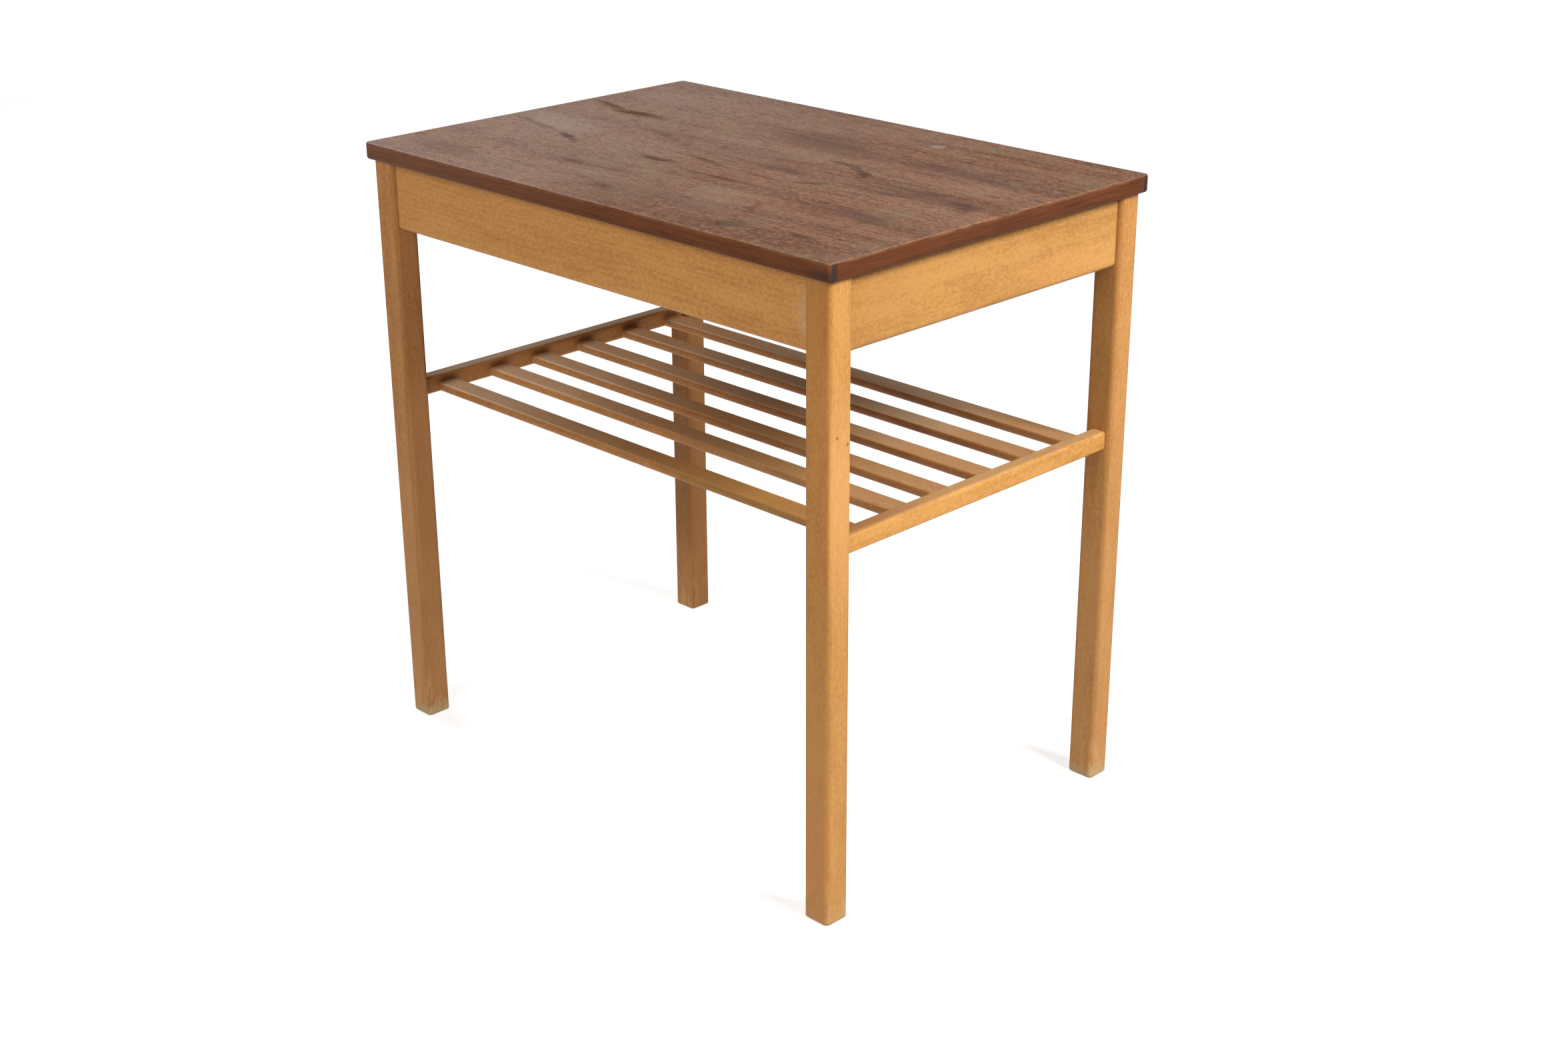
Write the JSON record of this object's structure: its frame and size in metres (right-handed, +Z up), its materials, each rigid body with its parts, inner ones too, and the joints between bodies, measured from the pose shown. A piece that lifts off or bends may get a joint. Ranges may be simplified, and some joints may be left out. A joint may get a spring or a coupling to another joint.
{
  "type": "bedside table",
  "caption": "Open bedside table: a veneered top with solid lippings on straight square legs, an apron under each edge, and a shelf of spaced slats between two cross rails",
  "frame": {"origin": "on the floor, under the middle of the table's top", "axes": "+X along the long side, to the right for someone in front of the table; +Y from the front to the back; +Z up"},
  "size_m": [0.6, 0.404, 0.59],
  "materials": {
    "core_board": "raw board, hidden by veneer and lippings",
    "teak_veneer": "satin, worn",
    "teak_lipping": "satin",
    "frame_beech": "satin lacquer",
    "slat_wood": "satin, worn",
    "block_wood": "sawn",
    "dowel_wood": "raw",
    "screw_steel": "plain steel"
  },
  "bodies": {
    "root": {"tabletop_core": "core_board", "top_veneer": "teak_veneer", "backing_veneer": "teak_veneer", "lipping_front": "teak_lipping", "lipping_back": "teak_lipping", "lipping_left": "teak_lipping", "lipping_right": "teak_lipping", "apron_front": "frame_beech", "apron_back": "frame_beech", "apron_left": "frame_beech", "apron_right": "frame_beech", "leg_front_left": "frame_beech", "leg_front_right": "frame_beech", "leg_back_left": "frame_beech", "leg_back_right": "frame_beech", "shelf_rail_left": "frame_beech", "shelf_rail_right": "frame_beech", "shelf_slat_1": "slat_wood", "shelf_slat_2": "slat_wood", "shelf_slat_3": "slat_wood", "shelf_slat_4": "slat_wood", "shelf_slat_5": "slat_wood", "shelf_slat_6": "slat_wood", "corner_block_front_left": "block_wood", "corner_block_front_right": "block_wood", "corner_block_back_left": "block_wood", "corner_block_back_right": "block_wood", "long_apron_dowels": "dowel_wood", "side_apron_dowels": "dowel_wood", "top_screws": "screw_steel", "block_screws": "screw_steel"}
  },
  "joints": []
}
